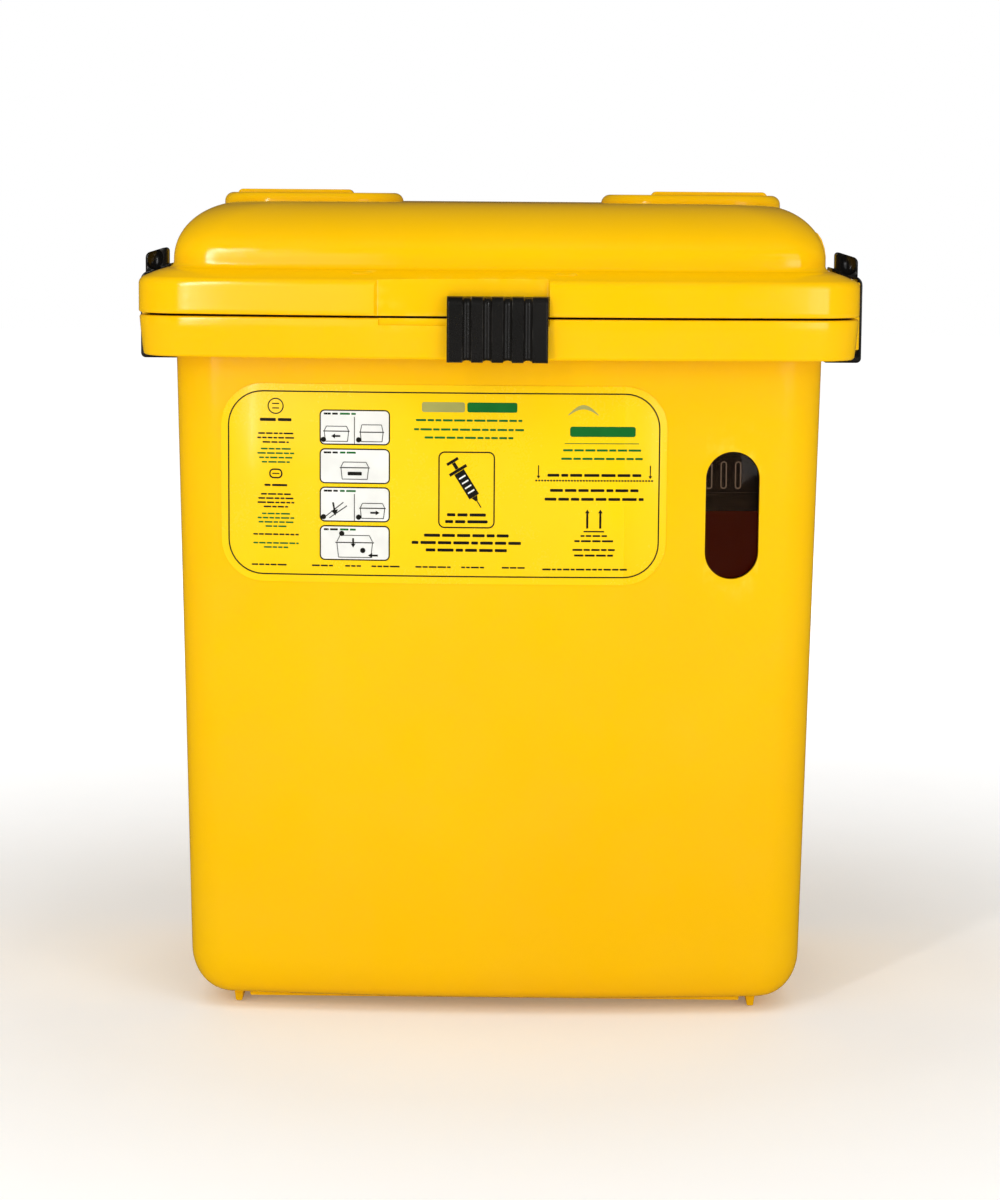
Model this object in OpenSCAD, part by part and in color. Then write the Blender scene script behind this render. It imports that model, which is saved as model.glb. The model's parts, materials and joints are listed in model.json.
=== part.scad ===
// Reusable sharps container: bin, hinged lid, counterweighted tray, slide latch and two side locks.
// Millimetres. X runs left to right, Y front (negative) to back, Z up from the bottom of the two runners.

/* [Bin] */
// Half width of the bin and lid flanges
flange_half = 204.5; // [204:0.5:206]
// Flange front face at the middle, in front of the origin
flange_front = 155; // [154.5:0.5:155.5]
// Flange back face, behind the origin
flange_back = 151; // [150.5:0.5:151]
// Top face of the bin's flange
rim_top = 404; // [404:0.1:404.2]
// Height of the bin flange's rolled skirt
skirt_height = 23; // [20:1:26]
// Wall thickness of the bin and the lid
wall = 3; // [2.6:0.2:3.4]
// Half width of the bin's wall near its base
body_half = 178; // [176:0.5:180]
// Radius of the gentle bow of the front, seen from above
bow_radius = 1267; // [1200:10:1400]
// Height of the runners under the bin
runner_height = 4.5; // [4:0.5:6]

/* [Lid] */
// Gap between the bin's flange and the lid's
parting_gap = 1.2; // [1:0.1:1.4]
// Height of the lid flange's straight face
lid_face = 20.8; // [20:0.2:21.6]
// Top of the dome
dome_top = 468.2; // [467:0.2:469]
// Distance of each grip's middle from the centre
grip_x = 113.25; // [112:0.25:115]
// Length of a grip's collar
grip_length = 107.5; // [104:0.5:110]
// Width of a grip's collar
grip_width = 66; // [62:1:68]

/* [Window] */
// Middle of the sight window across the bin
window_x = 133.25; // [130:0.25:136]
// Middle of the sight window above the floor
window_z = 292.85; // [290:0.5:296]
// Width of the window opening
window_width = 30.9; // [28:0.5:33]
// Height of the window opening
window_height = 72.9; // [66:1:76]

/* [Chute and tray] */
// Lower edge of the chute's skirt
chute_bottom = 294; // [290:1:300]
// Tray pivot behind the origin
pivot_y = 5; // [3:0.5:7]
// Tray pivot above the floor
pivot_z = 337; // [336:0.5:338]
// Radius of the tray's steel axle
axle_radius = 4; // [3.5:0.1:4.2]
// Half length of the tray
tray_half = 150; // [146:1:151]

/* [Latch and locks] */
// Half width of the latch slider
latch_half = 28.2; // [27:0.2:28.4]
// Travel of the latch slider to the left
latch_travel = 38; // [34:1:38]
// Outer face of the side locks
lock_outer = 214.8; // [214:0.2:216]
// Front end of the side locks' web
lock_front = -23; // [-24:1:-22]
// Length of the side locks' web
lock_length = 34; // [30:1:36]

/* [Colours] */
// Body plastic
yellow = "#ffcd00";
// Moulded black plastic
black = "#28261f";
// Steel pins and screws
steel = "#b4b6b8";

/* [Hidden] */
skirt_bottom = rim_top - skirt_height;
lid_bottom = rim_top + parting_gap;
lid_edge = lid_bottom + lid_face;
pin_y = flange_back + 3;
pin_z = rim_top + parting_gap / 2;
knuckle_r = 7;
pin_r = 2.5;
// Draft: the walls spread by these amounts from the base bend to the rim
side_draft = 6.5 / 342;
front_draft = 7 / 342;
back_draft = 5 / 342;
base_z = 33;
base_front = 128;
base_back = 128;
// Bottom bend of the bin: height and inset of each step
bend = [[7, 19.5], [8.2, 14.2], [10.4, 10], [14, 6.3], [21, 2.1], [33, 0]];
// Dome of the lid: height, half width, front, back, corner radius
dome = [[428, 186.9, 139, 136, 24], [440, 184.4, 137, 134.5, 24], [446, 183.1, 134.6, 133.2, 24],
  [451, 181, 130.6, 130.6, 25.5], [456.7, 176.9, 121.5, 124.8, 28.5], [462.5, 171, 106, 118, 33],
  [465.4, 167, 92, 112, 36], [467.2, 162.5, 78, 106, 39], [dome_top, 150, 62, 98, 40]];
// Left end of the recess that the latch slides along
recess_left = -latch_half - latch_travel - 0.8;
// Middle of the counterweight rod
weight_y = 69.3;
weight_z = pivot_z + 20.6;
screw_x = 188.6;
screw_y = 92;
hinge_x = 100;

// Plan outline with a bowed front: half width, front, back, front and back corner radius
function outline(a, f, b, r, rb) =
  let (cx = a - r)
  let (x0 = cx / (1 - r / bow_radius))
  let (be = asin(x0 / bow_radius))
  let (cy = x0 * x0 / (2 * bow_radius) - f + r * cos(be))
  concat(
    [for (i = [-7:7]) [x0 * i / 7, pow(x0 * i / 7, 2) / (2 * bow_radius) - f]],
    [for (i = [1:8]) [cx + r * cos(-90 + be + (90 - be) * i / 8), cy + r * sin(-90 + be + (90 - be) * i / 8)]],
    [for (i = [0:6]) [a - rb + rb * cos(15 * i), b - rb + rb * sin(15 * i)]],
    [for (i = [0:6]) [rb - a + rb * cos(90 + 15 * i), b - rb + rb * sin(90 + 15 * i)]],
    [for (i = [0:7]) [-cx + r * cos(180 + (90 - be) * i / 8), cy + r * sin(180 + (90 - be) * i / 8)]]);

// Upright slot outline of width w and height h
function slot(w, h) = concat(
  [for (i = [0:12]) [w / 2 * cos(15 * i), (h - w) / 2 + w / 2 * sin(15 * i)]],
  [for (i = [0:12]) [-w / 2 * cos(15 * i), -(h - w) / 2 - w / 2 * sin(15 * i)]]);

// Flange outline drawn in by an inset
function flange(inset) = outline(flange_half - inset, flange_front - inset, flange_back - inset,
  max(30 - inset, 8), max(22 - inset, 6));

// Bin wall outline at a height, drawn in by an inset
function body(z, inset) = outline(body_half + (z - base_z) * side_draft - inset,
  base_front + (z - base_z) * front_draft - inset, base_back + (z - base_z) * back_draft - inset,
  max(26 - inset, 8), max(24 - inset, 8));

module slab(z, points) {
  translate([0, 0, z]) linear_extrude(height = 0.1) polygon(points);
}

module prism(z0, z1, points) {
  translate([0, 0, z0]) linear_extrude(height = z1 - z0) polygon(points);
}

module ring(z0, z1, outside, inside) {
  translate([0, 0, z0]) linear_extrude(height = z1 - z0) difference() {
    polygon(outside);
    polygon(inside);
  }
}

module rod_x(x0, x1, y, z, r) {
  translate([x0, y, z]) rotate([0, 90, 0]) cylinder(h = x1 - x0, r = r, $fn = 48);
}

module rod_z(x, y, z0, z1, r) {
  translate([x, y, z0]) cylinder(h = z1 - z0, r = r, $fn = 48);
}

// A block from x0 to x1 whose cross-section is drawn as [y, z] points
module along_x(x0, x1, points) {
  translate([x0, 0, 0]) rotate([90, 0, 90]) linear_extrude(height = x1 - x0) polygon(points);
}

// A block from y0 to y1 whose cross-section is drawn as [x, z] points
module along_y(y0, y1, points) {
  translate([0, y1, 0]) rotate([90, 0, 0]) linear_extrude(height = y1 - y0) polygon(points);
}

module both_sides() {
  children();
  mirror([1, 0, 0]) children();
}

// Local frame on the inside of the front wall at the window; -Y points out of the bin
module at_window() {
  translate([window_x, wall + window_x * window_x / (2 * bow_radius) - base_front
    - (window_z - base_z) * front_draft, window_z])
    rotate([atan(front_draft), 0, asin(window_x / bow_radius)]) children();
}

module slot_block(y0, y1, w, h) {
  translate([0, y1, 0]) rotate([90, 0, 0]) linear_extrude(height = y1 - y0) polygon(slot(w, h));
}

// ---- bin ----

module bin_outside() {
  hull() {
    for (s = bend) slab(s[0], body(s[0], s[1]));
    slab(rim_top - 0.1, body(rim_top, 0));
  }
}

module bin_inside() {
  hull() {
    for (s = bend) slab(s[0] + wall, body(s[0] + wall, s[1] + wall));
    slab(rim_top + 1, body(rim_top, wall));
  }
}

module bin_flange() {
  difference() {
    hull() {
      slab(skirt_bottom, flange(6.2));
      slab(skirt_bottom + 1.3, flange(3.8));
      slab(skirt_bottom + 4, flange(2.3));
      slab(rim_top - 0.1, flange(0));
    }
    hull() {
      slab(skirt_bottom - 0.2, flange(8.8));
      slab(rim_top - wall - 0.1, flange(4));
    }
  }
}

// Guide pad on the flange's side that a side lock runs along
module side_pad(z0, z1) {
  both_sides() prism(z0, z1, [[203, -60], [211.2, -50], [211.2, 40], [203, 50]]);
}

module bin_shell() {
  color(yellow) difference() {
    union() {
      bin_flange();
      bin_outside();
      side_pad(skirt_bottom + 2.5, rim_top - 0.8);
      // base platform
      translate([-143.5, -100, runner_height]) cube([287, 205, 5]);
      both_sides() along_y(-95, 100, [[148.6, 0], [152.4, 0], [154, 12], [147, 12]]);
      // screw bosses of the chute
      both_sides() for (y = [-screw_y, screw_y]) rod_z(screw_x, y, rim_top - 12, rim_top - 1, 3.6);
      // hinge knuckles, two at each side
      both_sides() for (x = [-17.5, 17.5]) rod_x(hinge_x + x - 7.5, hinge_x + x + 7.5, pin_y, pin_z, knuckle_r);
    }
    bin_inside();
    both_sides() for (y = [-screw_y, screw_y]) rod_z(screw_x, y, rim_top - 11, rim_top + 1, 1.55);
    // pin bores, and room for the lid's knuckles and the pins' heads
    both_sides() rod_x(hinge_x - 26, hinge_x + 26, pin_y, pin_z, pin_r + 0.02);
    both_sides() rod_x(hinge_x - 10, hinge_x + 10, pin_y, pin_z, knuckle_r + 0.6);
    both_sides() rod_x(hinge_x + 25, hinge_x + 27.5, pin_y, pin_z, 4.4);
    at_window() slot_block(-12, 12, window_width, window_height);
    // shallow strip under the latch, and the opening its finger drops through
    translate([recess_left, -flange_front - 1, rim_top - 3]) cube([28.8 - recess_left, 2.6, 4]);
    translate([9.2 - latch_travel, -149.4, rim_top - 6]) cube([16.2 + latch_travel, 5, 8]);
  }
}

module label_panel() {
  color("#ffe200") intersection() {
    difference() {
      hull() {
        slab(250, body(250, -0.45));
        slab(370, body(370, -0.45));
      }
      hull() {
        slab(248, body(248, -0.05));
        slab(372, body(372, -0.05));
      }
    }
    translate([-30.5, -100, 309.5]) rotate([90, 0, 0]) linear_extrude(height = 60)
      polygon(concat(
        [for (i = [0:6]) [102.5 + 24 * cos(15 * i), 32.5 + 24 * sin(15 * i)]],
        [for (i = [6:12]) [-102.5 + 24 * cos(15 * i), 32.5 + 24 * sin(15 * i)]],
        [for (i = [12:18]) [-102.5 + 24 * cos(15 * i), -32.5 + 24 * sin(15 * i)]],
        [for (i = [18:24]) [102.5 + 24 * cos(15 * i), -32.5 + 24 * sin(15 * i)]]));
  }
}

module sight_window() {
  color("#5a2a1a") at_window() {
    slot_block(1.6, 3.8, 42, 84);
    slot_block(-2.2, 1.7, window_width - 0.5, window_height - 0.5);
  }
}

module window_gasket() {
  color(black) at_window() difference() {
    slot_block(0.25, 1.55, 42, 84);
    slot_block(0, 2, window_width + 0.3, window_height + 0.3);
  }
}

module chute_frame() {
  color(black) difference() {
    union() {
      ring(rim_top, rim_top + 2.4, outline(193.5, 138, 139, 18, 14), outline(171.5, 115.5, 117.5, 15, 12));
      ring(chute_bottom, rim_top + 2.4, outline(174, 118, 120, 17.5, 14.5), outline(171.5, 115.5, 117.5, 15, 12));
      // stiffening ridge around the skirt
      ring(chute_bottom + 8.2, chute_bottom + 10.6, outline(175.2, 119.2, 121.2, 18.7, 15.7),
        outline(172, 116, 118, 15.5, 12.5));
      // upright ribs outside the front
      for (x = [-117, -60.5, 60.5, 117]) translate([x - 1, x * x / (2 * bow_radius) - 119.6, chute_bottom + 9.4])
        cube([2, 3, rim_top - chute_bottom - 9.4]);
      // pivot bosses and the brackets under the tray's bumpers
      both_sides() rod_x(162, 173, pivot_y, pivot_z, 12);
      both_sides() translate([136, 61, pivot_z - 7]) cube([37, 17, 5]);
    }
    both_sides() rod_x(158, 178, pivot_y, pivot_z, axle_radius + 2.5);
    both_sides() for (y = [-screw_y, screw_y]) rod_z(screw_x, y, rim_top - 1, rim_top + 4, 1.6);
    // blind grille slots low on the front
    for (k = [-17:17]) translate([8.07 * k - 1.1, pow(8.07 * k, 2) / (2 * bow_radius) - 122, chute_bottom + 13.3])
      cube([2.2, 5, 14.2]);
  }
}

module chute_screws() {
  color(steel) both_sides() for (y = [-screw_y, screw_y]) difference() {
    union() {
      rod_z(screw_x, y, rim_top - 10, rim_top + 3, 1.5);
      rod_z(screw_x, y, rim_top + 2.42, rim_top + 4.4, 3.1);
    }
    translate([screw_x - 0.4, y - 2, rim_top + 3.4]) cube([0.8, 4, 2]);
    translate([screw_x - 2, y - 0.4, rim_top + 3.4]) cube([4, 0.8, 2]);
  }
}

module rim_seal() {
  color("#4a4a48") difference() {
    union() {
      ring(rim_top + 0.05, rim_top + 1.6, outline(198.6, 143.3, 144, 22, 18), outline(194.4, 139.1, 139.8, 18, 14));
      ring(rim_top + 1.5, rim_top + 3.4, outline(197.4, 142.1, 142.8, 20.8, 16.8), outline(195.6, 140.3, 141, 19, 15));
    }
  }
}

module hinge_pins() {
  color(steel) both_sides() {
    rod_x(hinge_x - 25, hinge_x + 25, pin_y, pin_z, pin_r);
    rod_x(hinge_x + 25, hinge_x + 26.5, pin_y, pin_z, 4);
  }
}

module tray_bush() {
  difference() {
    union() {
      rod_x(160.4, 173.8, pivot_y, pivot_z, axle_radius + 2.45);
      rod_x(159.2, 161.8, pivot_y, pivot_z, axle_radius + 5);
    }
    rod_x(158, 176, pivot_y, pivot_z, axle_radius + 0.05);
  }
}

module tray_bush_left() {
  color("#d8d4c8") mirror([1, 0, 0]) tray_bush();
}

module tray_bush_right() {
  color("#d8d4c8") tray_bush();
}

module tray_bumpers() {
  color("#3a3a38") both_sides() {
    rod_z(142, weight_y, pivot_z - 1.98, pivot_z + 10, 5);
    rod_z(142, weight_y, pivot_z + 9.9, pivot_z + 13, 3.6);
  }
}

// ---- lid ----

module dome_hull(inset) {
  hull() {
    for (d = dome) slab(d[0] - inset - 0.1, outline(d[1] - inset, d[2] - inset, d[3] - inset, d[4] - inset, d[4] - inset));
  }
}

module lid_flange_outside() {
  hull() {
    slab(lid_bottom, flange(0.7));
    slab(lid_bottom + 1, flange(0));
    slab(lid_edge - 4, flange(0));
    slab(lid_edge - 1.4, flange(1.3));
    slab(lid_edge + 0.3, flange(4.2));
    slab(lid_edge + 8.6, flange(26));
  }
}

module lid_flange_inside() {
  hull() {
    slab(lid_bottom - 1, flange(wall));
    slab(lid_edge - 4, flange(wall));
    slab(lid_edge + 3.4, flange(22));
  }
}

module grip_hole(inset, z) {
  both_sides() translate([grip_x, 8, 0]) rotate([0, 0, 90]) translate([0, 0, z]) linear_extrude(height = 60)
    polygon(slot(grip_width - 2 * inset, grip_length - 2 * inset));
}

module lid_shell() {
  color(yellow) difference() {
    union() {
      difference() {
        union() {
          lid_flange_outside();
          dome_hull(0);
          side_pad(lid_bottom + 0.8, lid_edge - 3);
        }
        lid_flange_inside();
        dome_hull(wall);
      }
      // small raised marks on the front ledge
      for (x = [-76, 38]) translate([x, x * x / (2 * bow_radius) - 145.4, lid_edge + 1.9]) rotate([21, 0, 0])
        rotate([0, 0, 90]) linear_extrude(height = 1.2) polygon(slot(4, 11.5));
      // wall behind the latch recess
      along_x(recess_left - 4, 33, [[-151.3, lid_bottom], [-148, lid_bottom], [-148, 426.4], [-151.3, 424.6]]);
      // walls behind the side notches, clear of the seal below
      both_sides() along_y(-32, 20, [[192.4, rim_top + 3.5], [202.4, rim_top + 3.5], [202.4, 424], [200.4, 425.6],
        [192.4, 428.6]]);
      // bosses on the dome's sides, inboard of the side locks
      both_sides() along_y(-26, 12, [[181, 428], [192.4, 428], [192.4, 437.5], [191.6, 442.6], [189.8, 447.6],
        [187.2, 451.5], [181, 452.4]]);
      // hinge knuckles
      both_sides() rod_x(hinge_x - 9.4, hinge_x + 9.4, pin_y, pin_z, knuckle_r);
      // bosses that the grips' screws run up through
      both_sides() for (x = [-20, 20], y = [-30.6, 30.6]) rod_z(grip_x + x, 8 + y, dome_top - 8, dome_top - 1, 2.3);
    }
    // latch recess, full height of the flange face
    translate([recess_left, -flange_front - 1, lid_bottom - 1]) cube([28.8 - recess_left, 5, lid_face + 12]);
    // slot that the latch's neck slides in, hidden behind the slider when it is shut
    translate([10.4 - latch_travel, -155, rim_top + 6.4]) cube([9.8 + latch_travel, 12, 6]);
    // notches that let the lid rise past the side locks
    both_sides() translate([195.6, -29, lid_bottom - 1]) cube([20, 46, 40]);
    grip_hole(4.6, 436);
    // seat of the grips' collars
    grip_hole(-0.1, dome_top - 1.8);
    both_sides() rod_x(hinge_x - 12, hinge_x + 12, pin_y, pin_z, pin_r + 0.06);
    // room for the bin's knuckles and the pins' heads
    both_sides() for (x = [-17.5, 17.5]) rod_x(hinge_x + x - 8.1, hinge_x + x + 8.1, pin_y, pin_z, knuckle_r + 0.6);
    both_sides() rod_x(hinge_x + 24, hinge_x + 27.5, pin_y, pin_z, knuckle_r + 0.6);
    both_sides() for (x = [-20, 20], y = [-30.6, 30.6]) rod_z(grip_x + x, 8 + y, dome_top - 9, dome_top + 1, 1.5);
  }
}

// Carrying grip, drawn for the right side: cup, collar and the bar the fingers close round
module grip() {
  difference() {
    union() {
      translate([grip_x, 8, 0]) rotate([0, 0, 90]) {
        // collar
        translate([0, 0, dome_top - 1.75]) linear_extrude(height = 4) polygon(slot(grip_width, grip_length));
        translate([0, 0, dome_top + 2.2]) linear_extrude(height = 1.4)
          polygon(slot(grip_width - 1.6, grip_length - 1.6));
        translate([0, 0, dome_top + 3.5]) linear_extrude(height = 1.4)
          polygon(slot(grip_width - 5.2, grip_length - 5.2));
        // cup
        translate([0, 0, 440]) linear_extrude(height = 30) polygon(slot(grip_width - 10, grip_length - 10));
      }
    }
    difference() {
      translate([grip_x, 8, 0]) rotate([0, 0, 90]) translate([0, 0, 442.5]) linear_extrude(height = 40)
        polygon(slot(grip_width - 15, grip_length - 15));
      along_x(grip_x - 52, grip_x + 52, [[1, 460], [3, 458], [13, 458], [15, 460], [15, 471], [13.6, 472.4],
        [2.4, 472.4], [1, 471]]);
    }
    for (x = [-20, 20], y = [-30.6, 30.6]) rod_z(grip_x + x, 8 + y, dome_top - 3, dome_top + 1.6, 1.4);
  }
  // raised top of the bar
  along_x(grip_x - 23.8, grip_x + 45.8, [[2.6, 471.5], [13.4, 471.5], [13.4, 473.8], [12, 475], [4, 475], [2.6, 473.8]]);
}

module grip_right() {
  color(yellow) grip();
}

module grip_left() {
  color(yellow) mirror([1, 0, 0]) grip();
}

module grip_screws() {
  color(steel) both_sides() for (x = [-20, 20], y = [-30.6, 30.6]) {
    rod_z(grip_x + x, 8 + y, dome_top - 9, dome_top + 1.4, 1.35);
    rod_z(grip_x + x, 8 + y, dome_top - 9.9, dome_top - 8.05, 2.3);
  }
}

// ---- tray ----

// Trough cross-section: a bent sheet drawn as [y, z]
function trough(lift) = [[-96, 374 + lift], [-92, 354 + lift], [-60, 344 + lift], [5, 344.6 + lift],
  [46, 348 + lift], [72, 376 + lift]];

module tray() {
  color(black) difference() {
    union() {
      along_x(-tray_half, tray_half, concat([[-98, 374], [-94.4, 352.4], [-60.4, 341.6], [5, 342.2], [47, 345.4],
        [74.4, 376]], [for (i = [5:-1:0]) trough(0)[i]]));
      // end cheeks
      both_sides() along_x(tray_half - 2.5, tray_half, [[-98, 374], [-94.4, 352.4], [-60.4, 341.6], [47, 345.4],
        [74.4, 376], [68, 383], [-90, 383]]);
      // hub tube under the trough
      rod_x(-158.6, 158.6, pivot_y, pivot_z, axle_radius + 3);
      for (x = [-149, -75, 0, 75, 148]) along_x(x - 1, x + 1, [[-45, 342.4], [2, 331], [8, 331], [42, 345.8]]);
    }
    rod_x(-160, 160, pivot_y, pivot_z, axle_radius + 0.04);
  }
}

module tray_axle() {
  color(steel) difference() {
    rod_x(-177, 177, pivot_y, pivot_z, axle_radius);
    // grooves for the retaining clips
    both_sides() difference() {
      rod_x(174.4, 175.6, pivot_y, pivot_z, axle_radius + 1);
      rod_x(174, 176, pivot_y, pivot_z, axle_radius - 0.7);
    }
  }
}

module axle_clips() {
  color("#8c8e90") both_sides() difference() {
    rod_x(174.5, 175.5, pivot_y, pivot_z, axle_radius + 2.2);
    rod_x(174, 176, pivot_y, pivot_z, axle_radius - 0.65);
    translate([173, pivot_y - 2.4, pivot_z - 10]) cube([4, 4.8, 10]);
  }
}

module counterweight() {
  color("#9a9c9e") rod_x(-138, 138, weight_y, weight_z, 4.5);
}

module counterweight_cover() {
  color(black) difference() {
    union() {
      rod_x(-146, 146, weight_y, weight_z, 7.2);
      // saddle against the back of the trough
      along_x(-146, 146, [[54.9, 354], [71.3, 372.2], [74, 369.2], [70, 357], [64, 353], [57.6, 351.8]]);
    }
    rod_x(-138.2, 138.2, weight_y, weight_z, 4.6);
  }
}

// ---- latch ----

module latch_slider() {
  color(black) difference() {
    union() {
      // front plate, thicker inside the lid's recess
      translate([-latch_half, -161, 381]) cube([2 * latch_half, 5.3, 35.6]);
      translate([-latch_half, -158, rim_top + 2]) cube([2 * latch_half, 6.7, 10.6]);
      // neck through the lid
      translate([11.2, -152, rim_top + 7]) cube([8.4, 3.9, 4.8]);
      // top edge rolled back
      rod_x(-latch_half, latch_half, -157.8, 415, 2.2);
      // foot lobes of the five bands
      for (i = [-2:2]) translate([i * 11.3, -158.4, 382.6]) rotate([90, 0, 0])
        cylinder(h = 5.2, r = 4.6, center = true, $fn = 32);
    }
    // four upright grooves between the bands
    for (i = [-1.5:1:1.5]) rod_z(i * 11.3, -162.1, 370, 422, 2.4);
    for (x = [13.2, 17.6]) translate([x, -149.9, rim_top + 9.4]) rotate([90, 0, 0])
      cylinder(h = 5, r = 1, center = true, $fn = 24);
    translate([-40, -170, 370]) cube([80, 30, 10]);
  }
}

module latch_clip() {
  color("#3a382f") difference() {
    union() {
      translate([3, -147.95, rim_top + 4.9]) cube([25, 2.4, 11]);
      translate([10, -147.95, rim_top - 7.6]) cube([10, 2.4, 13]);
      // toe that hooks towards the bin's rim plate
      translate([19.5, -147.95, rim_top - 7.6]) cube([5.5, 2.4, 3.2]);
    }
    for (x = [13.2, 17.6]) translate([x, -148, rim_top + 9.4]) rotate([90, 0, 0])
      cylinder(h = 12, r = 1.1, center = true, $fn = 24);
  }
}

module latch_screws() {
  color(steel) for (x = [13.2, 17.6]) translate([x, 0, rim_top + 9.4]) rotate([90, 0, 0]) {
    translate([0, 0, 145.3]) cylinder(h = 6.6, r = 0.95, $fn = 24);
    translate([0, 0, 143.9]) cylinder(h = 1.62, r = 1.9, $fn = 32);
  }
}

// ---- side locks ----

// C-shaped lock drawn for the right side; it grips the bin's skirt and slides forward over the lid
module side_lock() {
  web_in = lock_outer - 3;
  difference() {
    union() {
      // web, hook under the skirt and the hook's upturned lip
      along_y(lock_front, lock_front + lock_length, [[web_in, 380.4], [195, 380.4], [195, 387],
        [192.6, 387], [192.6, 375.6], [194, 374.5], [lock_outer - 2.6, 374.5], [lock_outer, 377],
        [lock_outer, 421], [lock_outer - 0.8, 423.4], [lock_outer - 2.6, 425.4], [204.6, 427.6], [201.6, 428.9],
        [197.2, 430.7], [196.4, 430.1], [196.4, 428.7], [200.6, 427.1], [204, 425.6], [205.2, 424.3], [web_in, 424.2]]);
      // thumb tab
      along_y(lock_front + 3, lock_front + 15, [[198.8, 429], [198.8, 438.6], [200, 440], [201.8, 440.3],
        [209, 437.8], [211.2, 436.2], [212, 433.6], [212, 424.8], [206, 426]]);
    }
    // gripping grooves on the web
    for (y = [8, 17, 26]) translate([lock_outer - 0.6, lock_front + y - 1, 388]) cube([2, 2, 36]);
    // scoop in the front of the thumb tab
    rod_x(198, 218, lock_front + 0.5, 441.5, 5.2);
  }
}

module side_lock_right() {
  color(black) side_lock();
}

module side_lock_left() {
  color(black) mirror([1, 0, 0]) side_lock();
}

bin_shell();
label_panel();
sight_window();
window_gasket();
chute_frame();
chute_screws();
rim_seal();
hinge_pins();
tray_bush_left();
tray_bush_right();
tray_bumpers();
lid_shell();
grip_left();
grip_right();
grip_screws();
tray();
tray_axle();
axle_clips();
counterweight();
counterweight_cover();
latch_slider();
latch_clip();
latch_screws();
side_lock_left();
side_lock_right();
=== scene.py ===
import json
import math
import random

import bpy
import bmesh
from mathutils import Matrix, Vector

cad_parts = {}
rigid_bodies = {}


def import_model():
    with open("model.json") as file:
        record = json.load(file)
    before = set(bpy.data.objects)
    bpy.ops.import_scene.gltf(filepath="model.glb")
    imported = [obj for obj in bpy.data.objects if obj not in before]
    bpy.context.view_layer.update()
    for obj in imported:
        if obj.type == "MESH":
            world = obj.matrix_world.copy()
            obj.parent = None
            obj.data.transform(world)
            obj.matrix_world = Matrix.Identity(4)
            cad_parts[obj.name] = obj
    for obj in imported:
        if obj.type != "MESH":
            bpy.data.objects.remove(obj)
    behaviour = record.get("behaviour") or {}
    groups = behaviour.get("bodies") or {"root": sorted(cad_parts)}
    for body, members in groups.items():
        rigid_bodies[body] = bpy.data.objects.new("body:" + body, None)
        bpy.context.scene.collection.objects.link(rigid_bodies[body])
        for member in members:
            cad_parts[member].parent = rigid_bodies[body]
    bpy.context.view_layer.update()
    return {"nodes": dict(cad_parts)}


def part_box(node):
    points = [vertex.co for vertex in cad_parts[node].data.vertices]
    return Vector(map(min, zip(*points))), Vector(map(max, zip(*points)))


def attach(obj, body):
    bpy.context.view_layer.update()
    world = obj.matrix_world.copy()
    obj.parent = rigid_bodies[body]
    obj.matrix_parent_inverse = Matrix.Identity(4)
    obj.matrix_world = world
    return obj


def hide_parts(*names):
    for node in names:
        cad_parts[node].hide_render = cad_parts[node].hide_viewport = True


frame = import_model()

S = 0.001  # lengths below are in millimetres; meshes are made in metres
BOW = 1267.0  # radius of the bowed front
WALL_FOOT, WALL_HEIGHT = 33, 342  # the bin's walls lean outward from their foot to the flange
FRONT, FRONT_LEAN = 128, 7
PIN_Y, PIN_Z = 154.0, 404.6  # axis of the lid's hinge
HINGE_X, KNUCKLE_R = 100, 6.99
SCREW_X, SCREW_Y = 188.6, 92  # screws of the chute, in the flange's corners
WINDOW_X, WINDOW_Z = 133.25, 292.85
SLOT_W, SLOT_H = 30.9, 72.9
GRIP_X, GRIP_Y = 113.25, 8
GRIP_W, GRIP_LENGTH = 66, 107.5


# ---------------------------------------------------------------- outlines

def bow(x):
    """How far the bowed front has fallen back at x."""
    return x * x / (2 * BOW)


def circle(cx, cy, r, n):
    return [(cx + r * math.cos(2 * math.pi * i / n), cy + r * math.sin(2 * math.pi * i / n)) for i in range(n)]


def span(s, a, b):
    """From a to b on the right (s = 1), or the same stretch on the left (s = -1)."""
    return sorted((s * a, s * b))


def outline(a, f, b, r, rb, z):
    """Plan ring: half width a, bowed front at -f, back at b, corner radii r and rb."""
    cx = a - r
    x0 = cx / (1 - r / BOW)
    be = math.asin(x0 / BOW)
    cy = bow(x0) - f + r * math.cos(be)
    pts = []
    for i in range(-30, 30):
        x = x0 * i / 30
        pts.append((x, bow(x) - f))
    for i in range(13):
        t = -math.pi / 2 + be + (math.pi / 2 - be) * i / 13
        pts.append((cx + r * math.cos(t), cy + r * math.sin(t)))
    for i in range(20):
        pts.append((a, cy + (b - rb - cy) * i / 20))
    for i in range(12):
        t = math.pi / 2 * i / 12
        pts.append((a - rb + rb * math.cos(t), b - rb + rb * math.sin(t)))
    for i in range(30):
        pts.append((a - rb - 2 * (a - rb) * i / 30, b))
    for i in range(12):
        t = math.pi / 2 * (1 + i / 12)
        pts.append((rb - a + rb * math.cos(t), b - rb + rb * math.sin(t)))
    for i in range(20):
        pts.append((-a, b - rb + (cy - b + rb) * i / 20))
    for i in range(13):
        t = math.pi + (math.pi / 2 - be) * i / 13
        pts.append((-cx + r * math.cos(t), cy + r * math.sin(t)))
    return [Vector((x, y, z)) for x, y in pts]


def flange(z, inset):
    """Ring of the flange that bin and lid share."""
    return outline(204.5 - inset, 155 - inset, 151 - inset, max(30 - inset, 8), max(22 - inset, 6), z)


def body(z, inset):
    """Ring of the bin's leaning walls."""
    k = (z - WALL_FOOT) / WALL_HEIGHT
    return outline(178 + 6.5 * k - inset, FRONT + FRONT_LEAN * k - inset, 128 + 5 * k - inset,
                   max(26 - inset, 7), max(24 - inset, 7), z)


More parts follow.
